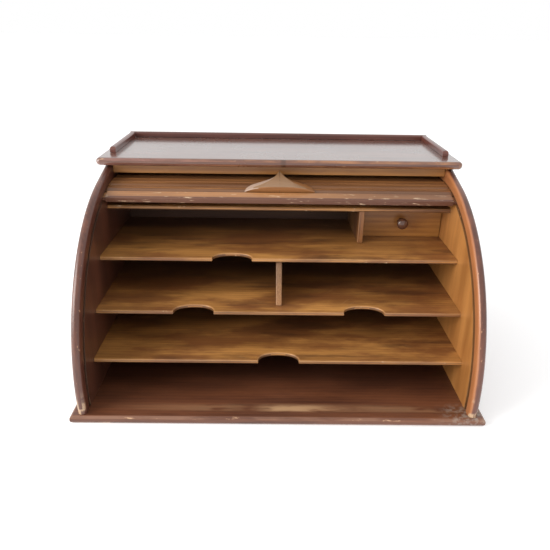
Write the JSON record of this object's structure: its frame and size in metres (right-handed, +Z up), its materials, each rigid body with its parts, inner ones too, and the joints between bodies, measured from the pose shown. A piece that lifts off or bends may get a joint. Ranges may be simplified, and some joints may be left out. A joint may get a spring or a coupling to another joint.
{
  "type": "roll top desk",
  "caption": "Table-top roll top stationery desk with a slatted tambour, pigeonhole shelves, a small drawer and a gallery rail.",
  "frame": {"origin": "centre of the footprint, on the surface the desk stands on", "axes": "+Z up, front faces -Y, +X to the right seen from the front"},
  "size_m": [0.53, 0.403, 0.3],
  "materials": {
    "carcass_wood": "dark red-brown stained softwood, worn shellac polish, satin gloss",
    "top_wood": "dark red-brown polish with a glossy, lightly scratched surface",
    "shelf_wood": "thin golden-brown varnish on pale softwood, fine scratches, satin",
    "front_wood": "golden-brown varnish, satin",
    "tambour_wood": "mid-brown varnish, edges worn to bare wood, satin",
    "knob_wood": "turned hardwood, dark polish"
  },
  "bodies": {
    "case": {"base_board": "carcass_wood", "side_left": "carcass_wood", "side_right": "carcass_wood", "top_board": "top_wood", "gallery_back": "top_wood", "gallery_left": "top_wood", "gallery_right": "top_wood", "top_rail": "front_wood", "back_panel": "carcass_wood", "inner_back": "shelf_wood", "inner_top": "shelf_wood", "shelf_upper": "shelf_wood", "shelf_middle": "shelf_wood", "shelf_lower": "shelf_wood", "divider_centre": "shelf_wood", "divider_drawer": "shelf_wood"},
    "drawer": {"drawer_front": "front_wood", "drawer_side_left": "shelf_wood", "drawer_side_right": "shelf_wood", "drawer_back": "shelf_wood", "drawer_bottom": "shelf_wood", "drawer_knob": "knob_wood"},
    "tambour_lead": {"lead_rail": "tambour_wood", "lift_handle": "tambour_wood", "slat_01": "tambour_wood", "slat_02": "tambour_wood", "slat_03": "tambour_wood"},
    "slat_04": {"slat_04": "tambour_wood"},
    "slat_05": {"slat_05": "tambour_wood"},
    "slat_06": {"slat_06": "tambour_wood"},
    "slat_07": {"slat_07": "tambour_wood"},
    "slat_08": {"slat_08": "tambour_wood"},
    "slat_09": {"slat_09": "tambour_wood"},
    "slat_10": {"slat_10": "tambour_wood"},
    "slat_11": {"slat_11": "tambour_wood"},
    "slat_12": {"slat_12": "tambour_wood"},
    "slat_13": {"slat_13": "tambour_wood"},
    "slat_14": {"slat_14": "tambour_wood"},
    "slat_15": {"slat_15": "tambour_wood"},
    "slat_16": {"slat_16": "tambour_wood"},
    "slat_17": {"slat_17": "tambour_wood"},
    "slat_18": {"slat_18": "tambour_wood"},
    "slat_19": {"slat_19": "tambour_wood"},
    "slat_20": {"slat_20": "tambour_wood"}
  },
  "joints": [
    {"name": "drawer_slide", "type": "slide", "parent": "case", "child": "drawer", "axis": [0, -1, 0], "range_m": [0, 0.06]},
    {"name": "tambour_roll", "type": "hinge", "parent": "case", "child": "tambour_lead", "pos_m": [0, 0.0395, 0.0345], "axis": [1, 0, 0], "range_deg": [0, 77]},
    {"name": "slat_04_roll", "type": "hinge", "parent": "case", "child": "slat_04", "pos_m": [0, 0.04403, 0.02856], "axis": [1, 0, 0], "range_deg": [0, 74.67]},
    {"name": "slat_05_roll", "type": "hinge", "parent": "case", "child": "slat_05", "pos_m": [0, 0.0493, 0.0211], "axis": [1, 0, 0], "range_deg": [0, 71.97]},
    {"name": "slat_06_roll", "type": "hinge", "parent": "case", "child": "slat_06", "pos_m": [0, 0.04293, 0.03234], "axis": [1, 0, 0], "range_deg": [0, 75.83]},
    {"name": "slat_07_roll", "type": "hinge", "parent": "case", "child": "slat_07", "pos_m": [0, 0.03794, 0.04308], "axis": [1, 0, 0], "range_deg": [0, 79.68]},
    {"name": "slat_08_roll", "type": "hinge", "parent": "case", "child": "slat_08", "pos_m": [0, 0.03419, 0.05332], "axis": [1, 0, 0], "range_deg": [0, 83.53]},
    {"name": "slat_09_roll", "type": "hinge", "parent": "case", "child": "slat_09", "pos_m": [0, 0.03157, 0.06303], "axis": [1, 0, 0], "range_deg": [0, 87.38]},
    {"name": "slat_10_roll", "type": "hinge", "parent": "case", "child": "slat_10", "pos_m": [0, 0.02998, 0.07219], "axis": [1, 0, 0], "range_deg": [0, 91.23]},
    {"name": "slat_11_roll", "type": "hinge", "parent": "case", "child": "slat_11", "pos_m": [0, 0.02932, 0.08078], "axis": [1, 0, 0], "range_deg": [0, 95.08]},
    {"name": "slat_12_roll", "type": "hinge", "parent": "case", "child": "slat_12", "pos_m": [0, 0.0295, 0.08878], "axis": [1, 0, 0], "range_deg": [0, 98.94]},
    {"name": "slat_13_roll", "type": "hinge", "parent": "case", "child": "slat_13", "pos_m": [0, 0.03043, 0.09616], "axis": [1, 0, 0], "range_deg": [0, 102.79]},
    {"name": "slat_14_roll", "type": "hinge", "parent": "case", "child": "slat_14", "pos_m": [0, 0.03204, 0.10291], "axis": [1, 0, 0], "range_deg": [0, 106.64]},
    {"name": "slat_15_roll", "type": "hinge", "parent": "case", "child": "slat_15", "pos_m": [0, 0.03424, 0.10901], "axis": [1, 0, 0], "range_deg": [0, 110.49]},
    {"name": "slat_16_roll", "type": "hinge", "parent": "case", "child": "slat_16", "pos_m": [0, 0.03695, 0.11444], "axis": [1, 0, 0], "range_deg": [0, 114.34]},
    {"name": "slat_17_roll", "type": "hinge", "parent": "case", "child": "slat_17", "pos_m": [0, 0.0401, 0.11919], "axis": [1, 0, 0], "range_deg": [0, 118.19]},
    {"name": "slat_18_roll", "type": "hinge", "parent": "case", "child": "slat_18", "pos_m": [0, 0.04361, 0.12326], "axis": [1, 0, 0], "range_deg": [0, 122.04]},
    {"name": "slat_19_roll", "type": "hinge", "parent": "case", "child": "slat_19", "pos_m": [0, 0.04742, 0.12663], "axis": [1, 0, 0], "range_deg": [0, 125.9]},
    {"name": "slat_20_roll", "type": "hinge", "parent": "case", "child": "slat_20", "pos_m": [0, 0.052, 0.12963], "axis": [1, 0, 0], "range_deg": [0, 130.26]}
  ],
  "couplings": [
    {"joint": "slat_04_roll", "follows": "tambour_roll", "ratio": 0.96965},
    {"joint": "slat_05_roll", "follows": "tambour_roll", "ratio": 0.93462},
    {"joint": "slat_06_roll", "follows": "tambour_roll", "ratio": 0.98464},
    {"joint": "slat_07_roll", "follows": "tambour_roll", "ratio": 1.0347},
    {"joint": "slat_08_roll", "follows": "tambour_roll", "ratio": 1.0847},
    {"joint": "slat_09_roll", "follows": "tambour_roll", "ratio": 1.1347},
    {"joint": "slat_10_roll", "follows": "tambour_roll", "ratio": 1.1847},
    {"joint": "slat_11_roll", "follows": "tambour_roll", "ratio": 1.2347},
    {"joint": "slat_12_roll", "follows": "tambour_roll", "ratio": 1.2847},
    {"joint": "slat_13_roll", "follows": "tambour_roll", "ratio": 1.3348},
    {"joint": "slat_14_roll", "follows": "tambour_roll", "ratio": 1.3848},
    {"joint": "slat_15_roll", "follows": "tambour_roll", "ratio": 1.4348},
    {"joint": "slat_16_roll", "follows": "tambour_roll", "ratio": 1.4848},
    {"joint": "slat_17_roll", "follows": "tambour_roll", "ratio": 1.5348},
    {"joint": "slat_18_roll", "follows": "tambour_roll", "ratio": 1.5849},
    {"joint": "slat_19_roll", "follows": "tambour_roll", "ratio": 1.6349},
    {"joint": "slat_20_roll", "follows": "tambour_roll", "ratio": 1.6916}
  ]
}
